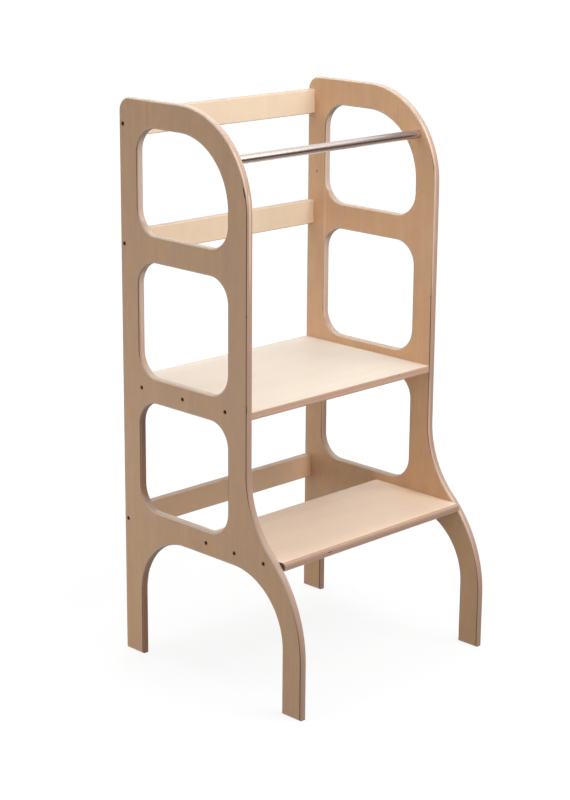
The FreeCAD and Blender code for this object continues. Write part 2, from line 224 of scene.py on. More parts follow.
class Term:
    """A socket of a node tree that takes part in sums written in Python."""

    def __init__(self, maker, socket):
        self.maker = maker
        self.socket = socket

    def maths(self, operation, *values):
        inputs = dict(enumerate(values))
        return self.maker.add("ShaderNodeMath", {"operation": operation}, inputs)

    def __add__(self, other):
        return self.maths("ADD", self, other)

    def __radd__(self, other):
        return self.maths("ADD", other, self)

    def __sub__(self, other):
        return self.maths("SUBTRACT", self, other)

    def __rsub__(self, other):
        return self.maths("SUBTRACT", other, self)

    def __mul__(self, other):
        return self.maths("MULTIPLY", self, other)

    def __rmul__(self, other):
        return self.maths("MULTIPLY", other, self)

    def __truediv__(self, other):
        return self.maths("DIVIDE", self, other)

    def __rtruediv__(self, other):
        return self.maths("DIVIDE", other, self)

    def __mod__(self, other):
        return self.maths("MODULO", self, other)

    def __rmod__(self, other):
        return self.maths("MODULO", other, self)

    def __pow__(self, other):
        return self.maths("POWER", self, other)

    def __rpow__(self, other):
        return self.maths("POWER", other, self)

    def __abs__(self):
        return self.maths("ABSOLUTE", self)

    def floor(self):
        return self.maths("FLOOR", self)

    def fraction(self):
        return self.maths("FRACT", self)

    def least(self, other):
        return self.maths("MINIMUM", self, other)

    def most(self, other):
        return self.maths("MAXIMUM", self, other)


class Maker:
    """Adds nodes to one tree."""

    def __init__(self, tree):
        self.tree = tree
        tree.nodes.clear()

    def feed(self, socket, value):
        if isinstance(value, Term):
            self.tree.links.new(value.socket, socket)
        elif socket.type == "RGBA" and len(value) == 3:
            socket.default_value = (*value, 1.0)
        else:
            socket.default_value = value

    def add(self, kind, settings=None, inputs=None, output=0):
        """A node with its settings, then the values or links of its inputs.

        Returns one output, or all of them by name where output is None.
        """
        node = self.tree.nodes.new(kind)
        for name, value in (settings or {}).items():
            setattr(node, name, value)
        for key, value in (inputs or {}).items():
            self.feed(node.inputs[key], value)
        if output is None:
            return {socket.name: Term(self, socket) for socket in node.outputs}
        return Term(self, node.outputs[output]) if node.outputs else node

    def mix(self, factor, first, second, blend="MIX"):
        """Colours mixed by a factor."""
        settings = {"data_type": "RGBA", "blend_type": blend}
        return self.add("ShaderNodeMix", settings, {0: factor, 6: first, 7: second}, output=2)

    def tinted(self, colour, amount):
        """A colour made lighter or darker by a plain number."""
        inputs = {0: colour, "Scale": amount}
        return self.add("ShaderNodeVectorMath", {"operation": "SCALE"}, inputs)

    def step(self, value, low, high):
        """0 at low and beyond, 1 at high and beyond, smooth between them."""
        settings = {"interpolation_type": "SMOOTHSTEP"}
        inputs = {"Value": value, "From Min": low, "From Max": high}
        return self.add("ShaderNodeMapRange", settings, inputs)

    def stretched(self, vector, scale, shift=(0.0, 0.0, 0.0)):
        """A vector multiplied and then shifted along each axis."""
        inputs = {0: vector, 1: scale, 2: shift}
        return self.add("ShaderNodeVectorMath", {"operation": "MULTIPLY_ADD"}, inputs)

    def noise(self, vector, scale=1.0, detail=2.0, roughness=0.5):
        inputs = {"Vector": vector, "Scale": scale, "Detail": detail, "Roughness": roughness}
        return self.add("ShaderNodeTexNoise", None, inputs)

    def length(self, vector):
        return self.add("ShaderNodeVectorMath", {"operation": "LENGTH"}, {0: vector}, output=1)

    def parts(self, vector):
        """The three numbers of a vector."""
        return list(self.add("ShaderNodeSeparateXYZ", None, {0: vector}, output=None).values())

    def place(self):
        """Where a point lies on its object, which is where it lies in the frame."""
        return self.add("ShaderNodeTexCoord", output="Object")


def new_material(name):
    material = bpy.data.materials.new(name)
    material.use_nodes = True
    return material, Maker(material.node_tree)


def sway(pattern, amount):
    """A pattern as a small change up or down."""
    return (pattern - 0.5) * amount


def around(value, spread):
    """The two numbers that lie a share of a value below it and above it."""
    return value * (1.0 - spread), value * (1.0 + spread)


def finish_surface(maker, inputs, height, relief):
    """The principled shader with a bump, and the output."""
    bump_inputs = {"Strength": 1.0, "Distance": relief, "Height": height}
    bump = maker.add("ShaderNodeBump", None, bump_inputs)
    shader = maker.add("ShaderNodeBsdfPrincipled", None, {**inputs, "Normal": bump})
    maker.add("ShaderNodeOutputMaterial", None, {"Surface": shader})


# Materials

AXES = {"x": 0, "y": 1, "z": 2}


class Board:
    """How a board lies: the axis through it, the place of its outer face, and its grain."""

    def __init__(self, node, through, grain, outward, seed):
        low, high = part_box(node)
        axis = AXES[through]
        self.through = axis
        self.grain = AXES[grain]
        self.across = 3 - self.through - self.grain
        self.outward = outward
        self.face = high[axis] if outward > 0 else low[axis]
        self.thickness = high[axis] - low[axis]
        self.seed = seed

    def ordered(self, grain, across, through):
        """Three numbers along the board's own directions, put in the order of the axes."""
        numbers = [0.0, 0.0, 0.0]
        numbers[self.grain] = grain
        numbers[self.across] = across
        numbers[self.through] = through
        return tuple(numbers)


class Mark:
    """A small patch of a colour of its own: a void, a knot, a seam, a painted highlight, a painted
    shade and the like.

    Its middle and its half lengths are in millimetres. Its colour is full as far out as CORE and
    gone at RIM, as shares of the half lengths.
    """

    CORE = 0.6
    RIM = 1.1

    def __init__(self, middle, halves, colour, strength=1.0):
        self.middle = Vector(middle) * MM
        self.halves = Vector(halves) * MM
        self.colour = colour
        self.strength = strength

    def paint(self, maker, place, surface):
        """The surface's colour with the mark over it."""
        scale = [1 / half for half in self.halves]
        shift = [-middle * share for middle, share in zip(self.middle, scale)]
        reach = maker.length(maker.stretched(place, scale, shift))
        shown = maker.step(reach, self.RIM, self.CORE)
        return maker.mix(shown * self.strength, surface, self.colour)


# Tints that run through a face veneer
PINKER = (1.02, 0.99, 1.02)
YELLOWER = (1.0, 1.0, 0.93)
OLIVE = (0.975, 1.005, 0.975)

# The right panel's wood, a little lighter and yellower than the left one's
RIGHT_PANEL_TINT = (1.055, 1.052, 1.015)

# Waves a metre of each pattern: along the grain, across it, and through the board
BANDS = (1.3, 30.0, 12.0)
STRIPES = (1.1, 95.0, 40.0)
FIBRES = (18.0, 320.0, 240.0)
PORES = (60.0, 1500.0, 600.0)
MOTTLE = (45.0, 60.0, 45.0)
BLUSH = (34.0, 48.0, 35.0)
STREAKS = (12.0, 60.0, 260.0)
ENDS = (500.0, 500.0, 900.0)

# The same along the bar or a dowel and both ways across it. The screws' steel is alike all ways
GRINDING = (14.0, 1900.0, 1900.0)
SMEARS = (9.0, 60.0, 60.0)
BEECH_FIBRES = (30.0, 900.0, 900.0)
BEECH_FLECKS = (300.0, 2200.0, 900.0)
PHOSPHATE = 2600.0
RUBS = 700.0

# How far each board's patterns are shifted along its three directions for one step of its seed
SEED_SHIFT = (1.7, 2.3, 0.9)

# Where a pattern turns from none to full in soft patches, and in the pores
PATCHY = (0.38, 0.62)
PORES_FROM = (0.62, 0.72)

# How sharply the dark line keeps to the edges that run along the grain
LINE_SHARPNESS = 9.0

# Half widths of a glue line at its darkest and at its rim
GLUE_CORE = 0.06 * MM
GLUE_RIM = 0.2 * MM

# The one veneer that is darker than the rest, as a share of the thickness
DARK_PLY_AT = 0.38


def tint(colour, towards, amount=1.0):
    """A colour multiplied by a share of another."""
    return tuple(part * (1.0 + (other - 1.0) * amount) for part, other in zip(colour, towards))


def plywood(name, board, wood, figure=0.4, skin=0.3 * MM, line=0.0, edge_tone=1.0, marks=()):
    """Lacquered birch plywood.

    wood is the colour of its faces, figure is how lively their grain is, skin is what the
    sanding has left of the face veneer, line is how clearly the crossband shows as a dark line
    along the rounded edges, and edge_tone is how light the cut edges are.
    """
    look = bpy.context.scene.stool_plywood
    material, maker = new_material(name)
    place = maker.place()
    places = maker.parts(place)
    facing = maker.parts(maker.add("ShaderNodeTexCoord", output="Normal"))
    shift = tuple(board.seed * share for share in SEED_SHIFT)

    def pattern(waves, detail=2.0):
        return maker.noise(maker.stretched(place, board.ordered(*waves), shift), detail=detail)

    # the veneer at this depth under the front face, and how near its glue lines are
    depth = (board.face - places[board.through]) * board.outward
    under_face = depth.least(board.thickness - depth)
    ply = (board.thickness - 2 * look.crossband) / look.plies
    layers = (depth - look.crossband) / ply + 2.0
    layer = layers.floor()
    crosswise = abs(layer % 2.0)
    to_joint = (0.5 - abs(layers.fraction() - 0.5)) * ply
    inside = maker.step(under_face, *around(look.crossband, 0.1))
    joint = (1.0 - maker.step(to_joint, GLUE_CORE, GLUE_RIM)) * inside

    # the cut edges, and how much of a cut runs along the board rather than across its end
    edge = maker.step(under_face, *around(skin, 0.4))
    sideways = facing[board.across] * facing[board.across]
    endways = facing[board.grain] * facing[board.grain]
    lengthwise = sideways / (sideways + endways + 0.001)
    upright = lengthwise ** LINE_SHARPNESS

    # the figure of the face veneer: bands, stripes, fibres, pores and cloudy patches
    bands = pattern(BANDS, detail=3.0)
    fibres = pattern(FIBRES)
    blush = pattern(BLUSH)
    pore = maker.step(pattern(PORES, detail=1.0), *PORES_FROM)
    hue = maker.step(pattern(MOTTLE) * 0.7 + bands * 0.3, *PATCHY)
    face = maker.mix(hue, tint(wood, PINKER, figure), tint(wood, YELLOWER, figure))
    face = maker.mix(maker.step(blush, *PATCHY) * figure, face, OLIVE, blend="MULTIPLY")
    grain = sway(bands, 0.26) + sway(pattern(STRIPES), 0.10) + sway(fibres, 0.16)
    shade = 1.0 + (grain + sway(blush, 0.2) - pore * 0.10) * figure

    # each veneer's own tone, its side grain and end grain, and the butt grain of the ends, kept
    # pale as a painted sheen
    own = maker.add(
        "ShaderNodeTexWhiteNoise", {"noise_dimensions": "1D"}, {"W": layer + board.seed}
    )
    streaks = pattern(STREAKS, detail=3.0)
    long_edge = maker.mix(crosswise, look.side_grain, look.end_grain)
    cut_wood = maker.mix(lengthwise, look.butt_grain_and_sheen, long_edge)
    from_dark_ply = abs(depth - board.thickness * DARK_PLY_AT)
    dark_ply = 1.0 - maker.step(from_dark_ply, 0.3 * MM, 1.0 * MM)
    mixed = sway(own, 0.10) + sway(streaks, 0.26) + sway(pattern(ENDS), 0.12)
    cut_tone = edge_tone * (1.0 - dark_ply * 0.1 + mixed)

    # the face or the cut edge, the glue, the pale crest of an end as a painted sheen, the dark
    # line and the marks
    surface = maker.mix(edge, maker.tinted(face, shade), maker.tinted(cut_wood, cut_tone))
    surface = maker.mix(joint * 0.3, surface, look.glue)
    crest = edge * maker.step(under_face, look.crossband * 1.3, look.crossband * 0.3)
    surface = maker.mix(crest * (1.0 - lengthwise), surface, look.crest)
    bare = crest * upright * (line + sway(streaks, line))
    surface = maker.mix(bare, surface, look.dark_line)
    for mark in marks:
        surface = mark.paint(maker, place, surface)

    rough = look.roughness + sway(fibres, 0.10) + edge * 0.08 + joint * 0.1
    height = fibres * 0.3 - pore * 0.4 - joint * 0.7
    inputs = {"Base Color": surface, "Roughness": rough, "IOR": 1.45}
    finish_surface(maker, inputs, height, 0.06 * MM)
    return material


def ground_steel(name):
    """Stainless steel ground along the bar."""
    look = bpy.context.scene.stool_fittings
    material, maker = new_material(name)
    place = maker.place()
    lines = maker.noise(maker.stretched(place, GRINDING), detail=2.0)
    smears = maker.noise(maker.stretched(place, SMEARS), detail=3.0)
    colour = maker.tinted(look.bar_colour, 0.97 + sway(lines, 0.12) + sway(smears, 0.06))
    rough = look.bar_roughness + sway(lines, 0.10) + sway(smears, 0.06)
    inputs = {"Base Color": colour, "Metallic": 1.0, "Roughness": rough}
    finish_surface(maker, inputs, lines, 0.01 * MM)
    return material


def dark_steel(name):
    """Phosphated screw steel, browned partly as a painted reflection of the wood round it, and
    lighter where a driver has rubbed it.
    """
    look = bpy.context.scene.stool_fittings
    material, maker = new_material(name)
    place = maker.place()
    grains = maker.noise(place, scale=PHOSPHATE, detail=2.0)
    rubs = maker.step(maker.noise(place, scale=RUBS, detail=3.0), 0.55, 0.75)
    colour = maker.mix(rubs * 0.35, look.screw_colour, look.rubbed_steel)
    rough = 0.6 + sway(grains, 0.25) - rubs * 0.1
    inputs = {"Base Color": colour, "Metallic": 0.1, "Roughness": rough, "Specular IOR Level": 0.2}
    finish_surface(maker, inputs, grains, 0.01 * MM)
    return material


def turned_beech(name):
    """Beech with its grain along the dowel."""
    look = bpy.context.scene.stool_fittings
    material, maker = new_material(name)
    place = maker.place()
    fibres = maker.noise(maker.stretched(place, BEECH_FIBRES), detail=3.0)
    flecks = maker.step(maker.noise(maker.stretched(place, BEECH_FLECKS)), 0.60, 0.70)
    colour = maker.tinted(look.dowel_colour, 1.0 + sway(fibres, 0.35) - flecks * 0.25)
    inputs = {"Base Color": colour, "Roughness": 0.6 + sway(fibres, 0.1)}
    finish_surface(maker, inputs, fibres, 0.03 * MM)
    return material


def dress(node, material):
    """Gives a node of the frame its finish."""
    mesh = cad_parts[node].data
    mesh.materials.clear()
    mesh.materials.append(material)


# Small marks on the boards, real ones and painted light and shade: their colours, then each
# one's middle and half lengths in millimetres

VOID = (0.035, 0.018, 0.010)
RED_VOID = (0.10, 0.03, 0.02)
KNOT = (0.20, 0.10, 0.045)
# painted shade of the recesses round the screw heads
PAINTED_RECESS_SHADE = (0.19, 0.065, 0.008)
# end grain darkened with painted shade
DARK_END_AND_SHADE = (0.13, 0.06, 0.035)
# dark lines, most of them painted shade along arrises that face down
DARK_LINE_AND_SHADE = (0.24, 0.13, 0.08)
# painted shade for low cut edges
PAINTED_BROWN_SHADE = (0.42, 0.22, 0.13)
SEAM = (0.17, 0.09, 0.05)
# painted highlight for rounded edges
PAINTED_ARRIS_HIGHLIGHT = (0.77, 0.56, 0.43)
# painted light for cut edges
PAINTED_PALE_LIGHT = (0.74, 0.57, 0.47)

# The middle of each panel's thickness, and half of what a mark along a whole shelf or rail needs
LEFT_PLY = -206.0
RIGHT_PLY = 206.0
THROUGHOUT = 900.0


def sole_shades(middle):
    """Painted shade along the soles, where the two legs of a panel stand on the floor."""
    return tuple(
        Mark((middle, leg, 0.0), (8.0, 30.0, 1.6), DARK_LINE_AND_SHADE, 0.7) for leg in (179.5, -180.0)
    )


# The void follows the shoulder's curve in four overlapping parts
SHOULDER_VOID = tuple(
    Mark((-211.9, -74.0 - 0.95 * part, 791.2 - 3.4 * part), (1.0, 1.1, 3.2), VOID)
    for part in range(4)
)
LEFT_PANEL_MARKS = (
    *SHOULDER_VOID,
    # the windows' back edges, with painted light above and painted shade below, and painted light
    # on the lowest window's sill
    Mark((LEFT_PLY, 159.0, 720.0), (6.2, 8.0, 260.0), PAINTED_PALE_LIGHT, 0.6),
    Mark((LEFT_PLY, 159.0, 150.0), (6.0, 8.0, 330.0), PAINTED_BROWN_SHADE, 0.8),
    Mark((LEFT_PLY, 60.0, 250.0), (6.0, 110.0, 4.0), PAINTED_PALE_LIGHT, 0.7),
    # painted highlights along the shoulder's arris and the front edge under it
    Mark((-210.2, -65.0, 815.0), (1.7, 32.0, 62.0), PAINTED_ARRIS_HIGHLIGHT, 0.85),
    Mark((LEFT_PLY, -81.0, 740.0), (2.4, 3.5, 120.0), PAINTED_ARRIS_HIGHLIGHT, 0.7),
    # a seam between two sheets of the face veneer
    Mark((-212.0, 135.0, 877.0), (1.0, 0.7, 22.0), SEAM, 0.5),
    # painted shade along the soles
    *sole_shades(LEFT_PLY),
    # voids along the front arris
    Mark((-211.7, -80.6, 603.8), (0.7, 1.3, 2.2), VOID, 0.8),
    Mark((-211.4, -81.0, 463.0), (0.7, 1.3, 9.0), VOID, 0.8),
)
RIGHT_PANEL_MARKS = (
    # painted light on the windows' back edges and on their inner arris
    Mark((RIGHT_PLY, 159.0, 720.0), (6.2, 8.0, 260.0), PAINTED_PALE_LIGHT, 0.6),
    Mark((201.5, 159.0, 640.0), (2.0, 5.0, 230.0), PAINTED_ARRIS_HIGHLIGHT, 0.8),
    Mark((201.5, 159.0, 340.0), (2.0, 5.0, 80.0), PAINTED_ARRIS_HIGHLIGHT, 0.5),
    # a void in the front arris and a pin knot in the inner face
    Mark((200.1, -79.5, 569.0), (0.8, 1.2, 4.5), VOID, 0.6),
    Mark((200.3, -80.4, 561.0), (0.8, 1.2, 4.5), VOID, 0.5),
    Mark((200.0, 178.5, 743.0), (1.5, 2.2, 2.6), KNOT, 0.8),
    # painted highlights along the front arris
    Mark((200.9, -81.5, 715.0), (1.9, 2.6, 180.0), PAINTED_ARRIS_HIGHLIGHT, 0.9),
    Mark((201.9, -65.0, 815.0), (1.7, 32.0, 62.0), PAINTED_ARRIS_HIGHLIGHT, 0.85),
    Mark((201.9, -140.0, 265.0), (1.7, 80.0, 185.0), PAINTED_ARRIS_HIGHLIGHT, 0.75),
    Mark((201.9, -82.0, 375.0), (1.9, 4.0, 75.0), PAINTED_ARRIS_HIGHLIGHT, 0.6),
    # painted shade along the soles
    *sole_shades(RIGHT_PLY),
)
PLATFORM_MARKS = (
    # voids in the front edge
    Mark((127.5, -80.0, 453.9), (2.6, 2.0, 0.5), VOID),
    Mark((108.5, -80.0, 453.6), (2.0, 2.0, 0.35), VOID, 0.6),
    Mark((-86.7, -80.0, 446.6), (3.0, 2.0, 0.4), VOID, 0.5),
    # painted shade along the lower arris of the front edge, and a fainter dark line along the
    # upper one
    Mark((0.0, -81.0, 444.2), (THROUGHOUT, 2.5, 1.9), DARK_LINE_AND_SHADE, 0.55),
    Mark((0.0, -81.6, 455.6), (THROUGHOUT, 1.6, 0.9), DARK_LINE_AND_SHADE, 0.35),
)
STEP_MARKS = (
    # the sawn ends of the nose, dark as end grain and as painted shade
    Mark((-200.0, -147.0, 230.6), (0.6, 8.0, 8.0), DARK_END_AND_SHADE, 0.9),
    Mark((200.0, -147.0, 230.6), (0.6, 8.0, 8.0), DARK_END_AND_SHADE, 0.9),
    # a dark line along the nose, painted shade along its lower arris, and a void in it
    Mark((0.0, -152.6, 228.6), (THROUGHOUT, 1.2, 0.45), DARK_LINE_AND_SHADE, 0.5),
    Mark((0.0, -150.0, 225.2), (THROUGHOUT, 2.0, 0.7), DARK_LINE_AND_SHADE, 0.6),
    Mark((-103.2, -152.5, 231.0), (5.5, 2.0, 1.0), RED_VOID, 0.95),
)


def screw_recess_shades(outward):
    """The dark rings in a panel's face round its screws: painted shade of the recesses that the
    heads sit in.
    """
    return tuple(
        Mark([at / MM for at in seat], (2.0, 4.5, 4.5), PAINTED_RECESS_SHADE, 0.9)
        for seat, way in screw_seats()
        if way == outward
    )


def rail_foot_shade(node):
    """Painted shade along the lower front arris of a back rail."""
    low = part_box(node)[0]
    return Mark((0.0, low[1] / MM, low[2] / MM), (THROUGHOUT, 1.8, 1.3), DARK_LINE_AND_SHADE, 0.5)


# Operators

class STOOL_OT_side_panels(bpy.types.Operator):
    """Finish both side panels in birch plywood with upright grain"""

    bl_idname = "stool.side_panels"
    bl_label = "Side Panels"

    def execute(self, context):
        wood = context.scene.stool_plywood.panel_wood
        self.finish_panel("left", -1, wood, LEFT_PANEL_MARKS)
        self.finish_panel("right", 1, tint(wood, RIGHT_PANEL_TINT), RIGHT_PANEL_MARKS)
        return {"FINISHED"}

    def finish_panel(self, side, outward, wood, marks):
        node = f"{side}_side_panel"
        finish = plywood(
            f"plywood_{side}_panel",
            Board(node, "x", "z", outward, seed=3.0 + outward),
            wood,
            figure=0.8,
            skin=0.015 * MM,
            line=1.0,
            edge_tone=0.83,
            # the rings round the screws are painted shade of their recesses
            marks=marks + screw_recess_shades(outward),
        )
        dress(node, finish)


class STOOL_OT_shelves(bpy.types.Operator):
    """Finish the standing platform and the lower step, whose grain runs across the stool"""

    bl_idname = "stool.shelves"
    bl_label = "Platform and Step"

    def execute(self, context):
        look = context.scene.stool_plywood
        platform = plywood(
            "plywood_platform",
            Board("standing_platform", "z", "x", 1, seed=7.0),
            look.platform_wood,
            skin=0.15 * MM,
            edge_tone=1.03,
            marks=PLATFORM_MARKS,
        )
        dress("standing_platform", platform)
        step = plywood(
            "plywood_step",
            Board("lower_step", "z", "x", 1, seed=9.0),
            look.step_wood,
            skin=0.12 * MM,
            edge_tone=0.81,
            marks=STEP_MARKS,
        )
        dress("lower_step", step)
        return {"FINISHED"}


class STOOL_OT_back_rails(bpy.types.Operator):
    """Finish the three back rails, whose grain runs upright"""

    bl_idname = "stool.back_rails"
    bl_label = "Back Rails"

    def execute(self, context):
        look = context.scene.stool_plywood
        woods = (look.rail_wood, look.rail_wood, look.lower_rail_wood)
        for seed, (place, wood) in enumerate(zip(RAILS, woods), start=11):
            node = f"{place}_back_rail"
            finish = plywood(
                f"plywood_{place}_rail",
                Board(node, "y", "z", -1, seed=float(seed)),
                wood,
                figure=0.3,
                edge_tone=0.75,
                # painted shade along the rail's lower front arris
                marks=(rail_foot_shade(node),),
            )
            dress(node, finish)
        return {"FINISHED"}


class STOOL_OT_hand_bar(bpy.types.Operator):
    """Finish the steel hand bar"""

    bl_idname = "stool.hand_bar"
    bl_label = "Hand Bar"

    def execute(self, context):
        dress("steel_hand_bar", ground_steel("ground_steel"))
        return {"FINISHED"}


class STOOL_OT_dowels(bpy.types.Operator):
    """Finish the dowels between the rails and the panels"""

    bl_idname = "stool.dowels"
    bl_label = "Dowels"

    def execute(self, context):
        finish = turned_beech("turned_beech")
        for side in SIDES:
            dress(f"{side}_rail_dowels", finish)
        return {"FINISHED"}


# Screws

SCREW_SIDES = 18
ROWS_A_TURN = 8
CREST_SHARE = 0.3
DRILL_POINT = 0.2
SCREW_SEED = 5
SHARP_ANGLE = math.radians(38)


def screw_groups():
    return [f"{side}_{place}_screws" for side in SIDES for place in ("platform", "step", "rail")]


def screw_seats():
    """Where each screw's head lies in the panels' outer faces, and the way that it faces."""
    seats = []
    for side, outward in zip(SIDES, (-1.0, 1.0)):
        for place in ("platform", "step"):
            low, high = (Vector(corner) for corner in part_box(f"{side}_{place}_screws"))
            head = high.x if outward > 0 else low.x
            radius = (high.z - low.z) / 2
            span = high.y - low.y - 2 * radius
            middle = (high.z + low.z) / 2
            for share in (0.0, 0.5, 1.0):
                along = low.y + radius + share * span
                seats.append(((head, along, middle), outward))
        low, high = (Vector(corner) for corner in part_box(f"{side}_rail_screws"))
        head = high.x if outward > 0 else low.x
        along = (low.y + high.y) / 2
        for rail in RAILS:
            rail_low, rail_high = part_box(f"{rail}_back_rail")
            seats.append(((head, along, (rail_low[2] + rail_high[2]) / 2), outward))
    return seats


def hexagon(turn, width):
    """Distance from the middle of a hexagon to its side, with a corner at turn 0."""
    sixth = math.pi / 3
    return width / 2 / math.cos(turn % sixth - sixth / 2)


def countersunk_screw(fittings, head_radius, length):
    """A countersunk wood screw along -X with its head's top in the plane X = 0."""
    turns = [2 * math.pi * i / SCREW_SIDES for i in range(SCREW_SIDES)]
    key = [hexagon(turn, fittings.key_width) for turn in turns]
    chamfer = fittings.chamfer
    crest_height = fittings.thread_radius - fittings.core_radius

    def even(radius):
        return [radius] * SCREW_SIDES

    neck_start = fittings.rim + head_radius - fittings.shank_radius
    rings = [
        (fittings.key_depth, key),
        (chamfer, key),
        (0.0, [radius + chamfer for radius in key]),
        (0.0, even(head_radius - chamfer)),
        (chamfer, even(head_radius)),
        (fittings.rim, even(head_radius)),
        (neck_start, even(fittings.shank_radius)),
        (fittings.neck, even(fittings.shank_radius)),
    ]
    rows = round((length - fittings.neck) / fittings.pitch * ROWS_A_TURN)
    for row in range(1, rows):
        depth = fittings.neck + row * (length - fittings.neck) / rows
        taper = min(1.0, (length - depth) / fittings.point)
        start = min(1.0, row / ROWS_A_TURN)
        radii = []
        for turn in turns:
            phase = (depth / fittings.pitch + turn / (2 * math.pi)) % 1.0
            crest = max(0.0, 1.0 - abs(phase - 0.5) / CREST_SHARE) * start
            radii.append(taper * (fittings.core_radius + crest_height * crest))
        rings.append((depth, radii))

    shape = bmesh.new()
    drilled_to = fittings.key_depth + fittings.key_width * DRILL_POINT
    drilled = shape.verts.new((-drilled_to, 0, 0))
    circles = [
        [
            shape.verts.new((-depth, radius * math.cos(turn), radius * math.sin(turn)))
            for turn, radius in zip(turns, radii)
        ]
        for depth, radii in rings
    ]
    tip = shape.verts.new((-length, 0, 0))
    for i in range(SCREW_SIDES):
        after = (i + 1) % SCREW_SIDES
        shape.faces.new((drilled, circles[0][i], circles[0][after]))
        for inner, outer in zip(circles, circles[1:]):
            shape.faces.new((inner[i], outer[i], outer[after], inner[after]))
        shape.faces.new((tip, circles[-1][after], circles[-1][i]))
    bmesh.ops.recalc_face_normals(shape, faces=shape.faces)
    mesh = bpy.data.meshes.new("countersunk_screw")
    shape.to_mesh(mesh)
    shape.free()
    return mesh


def set_screws_tree(finish):
    """Geometry nodes that put a turned screw on every seat."""
    tree = bpy.data.node_groups.new("set_screws", "GeometryNodeTree")
    face = tree.interface
    face.new_socket("Seats", in_out="INPUT", socket_type="NodeSocketGeometry")
    face.new_socket("Screw", in_out="INPUT", socket_type="NodeSocketObject")
    face.new_socket("Seed", in_out="INPUT", socket_type="NodeSocketInt")
    face.new_socket("Scale", in_out="INPUT", socket_type="NodeSocketFloat")
    face.new_socket("Screws", in_out="OUTPUT", socket_type="NodeSocketGeometry")
    maker = Maker(tree)
    given = maker.add("NodeGroupInput", output=None)
    outward = maker.add(
        "GeometryNodeInputNamedAttribute", {"data_type": "FLOAT_VECTOR"}, {"Name": "outward"}
    )
    facing = maker.add("FunctionNodeAlignRotationToVector", {"axis": "X"}, {"Vector": outward})
    turn = maker.add(
        "FunctionNodeRandomValue",
        {"data_type": "FLOAT"},
        {2: 0.0, 3: 2 * math.pi, "Seed": given["Seed"]},
        output=1,
    )
    own_turn = maker.add(
        "FunctionNodeAxisAngleToRotation", None, {"Axis": (1.0, 0.0, 0.0), "Angle": turn}
    )
    rotation = maker.add(
        "FunctionNodeRotateRotation",
        {"rotation_space": "LOCAL"},
        {"Rotation": facing, "Rotate By": own_turn},
    )
    shape = maker.add(
        "GeometryNodeObjectInfo",
        {"transform_space": "ORIGINAL"},
        {"Object": given["Screw"]},
        output="Geometry",
    )
    placed = maker.add(
        "GeometryNodeInstanceOnPoints",
        None,
        {
            "Points": given["Seats"],
            "Instance": shape,
            "Rotation": rotation,
            "Scale": given["Scale"],
        },
    )
    real = maker.add("GeometryNodeRealizeInstances", None, {"Geometry": placed})
    done = maker.add("GeometryNodeSetMaterial", None, {"Geometry": real, "Material": finish})
    maker.add("NodeGroupOutput", None, {"Screws": done})
    return tree


class STOOL_OT_screws(bpy.types.Operator):
    """Set the countersunk screws in the outer faces of the panels"""

    bl_idname = "stool.screws"
    bl_label = "Screws"

    def execute(self, context):
        fittings = context.scene.stool_fittings
        low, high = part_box("left_platform_screws")
        head_radius = (high[2] - low[2]) / 2
        shape = countersunk_screw(fittings, head_radius, high[0] - low[0])
        screw = link(bpy.data.objects.new("countersunk_screw", shape))

        seats = screw_seats()
        points = bpy.data.meshes.new("screw_seats")
        points.from_pydata([place for place, outward in seats], [], [])
        ways = points.attributes.new("outward", "FLOAT_VECTOR", "POINT")
        for way, (place, outward) in zip(ways.data, seats):
            way.vector = (outward, 0.0, 0.0)
        holder = link(bpy.data.objects.new("screw_seats", points))

        tree = set_screws_tree(dark_steel("dark_steel"))
        modifier = holder.modifiers.new("set_screws", "NODES")
        modifier.node_group = tree
        values = {"Screw": screw, "Seed": SCREW_SEED, "Scale": 1.0}
        for item in tree.interface.items_tree:
            if item.in_out == "INPUT" and item.name in values:
                modifier[item.identifier] = values[item.name]
        evaluated = holder.evaluated_get(context.evaluated_depsgraph_get())
        mesh = bpy.data.meshes.new_from_object(evaluated)
        mesh.name = "countersunk_screws"
        holder.modifiers.remove(modifier)
        bpy.data.objects.remove(holder)
        bpy.data.objects.remove(screw)
        mesh.shade_smooth()
        mesh.set_sharp_from_angle(angle=SHARP_ANGLE)

        screws = link(bpy.data.objects.new("countersunk_screws", mesh))
        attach(screws, BODY)
        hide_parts(*screw_groups())
        return {"FINISHED"}


def link(thing):
    bpy.context.scene.collection.objects.link(thing)
    return thing


def turned_to(place, aim):
    """Where a lamp or a card stands, turned to face what it lights."""
    away = Vector(place) - Vector(aim)
    return Matrix.Translation(place) @ away.to_track_quat("Z", "Y").to_matrix().to_4x4()


def white_to_the_camera(maker, seen, otherwise):
    """One shader for camera, mirror and glass rays, and another for the light in the scene."""
    path = maker.add("ShaderNodeLightPath", output=None)
    mirrored = path["Is Glossy Ray"].most(path["Is Transmission Ray"])
    shown = path["Is Camera Ray"].most(mirrored)
    return maker.add("ShaderNodeMixShader", None, {0: shown, 1: otherwise, 2: seen})


# The soft boxes, whose brightness is in the settings: place, aim and size in metres
SOFT_BOXES = {
    "front": ((0.25, -1.1, 1.9), (0.0, 0.0, 0.6), (1.4, 1.0)),
    "low": ((0.3, -1.3, 1.2), (0.0, 0.0, 0.7), (1.0, 0.8)),
    "top": ((0.0, 0.0, 2.6), (0.0, 0.0, 0.0), (2.0, 2.0)),
    "back": ((0.0, 0.8, 2.2), (0.0, 0.0, 0.4), (1.6, 1.2)),
    "side": ((-1.3, 0.95, 0.3), (-0.2, 0.15, 0.3), (1.0, 0.6)),
    "foot": ((-0.9, 0.45, 0.12), (-0.212, 0.05, 0.12), (0.8, 0.2)),
}

# Watts of a square metre of soft box at a glow of 1
WATTS = 4

# How much of the light the floor sends back to the object, and what of its light it shows
FLOOR_BOUNCE = (0.22, 0.22, 0.22)
FLOOR_LIT = (0.16, 0.16, 0.16)

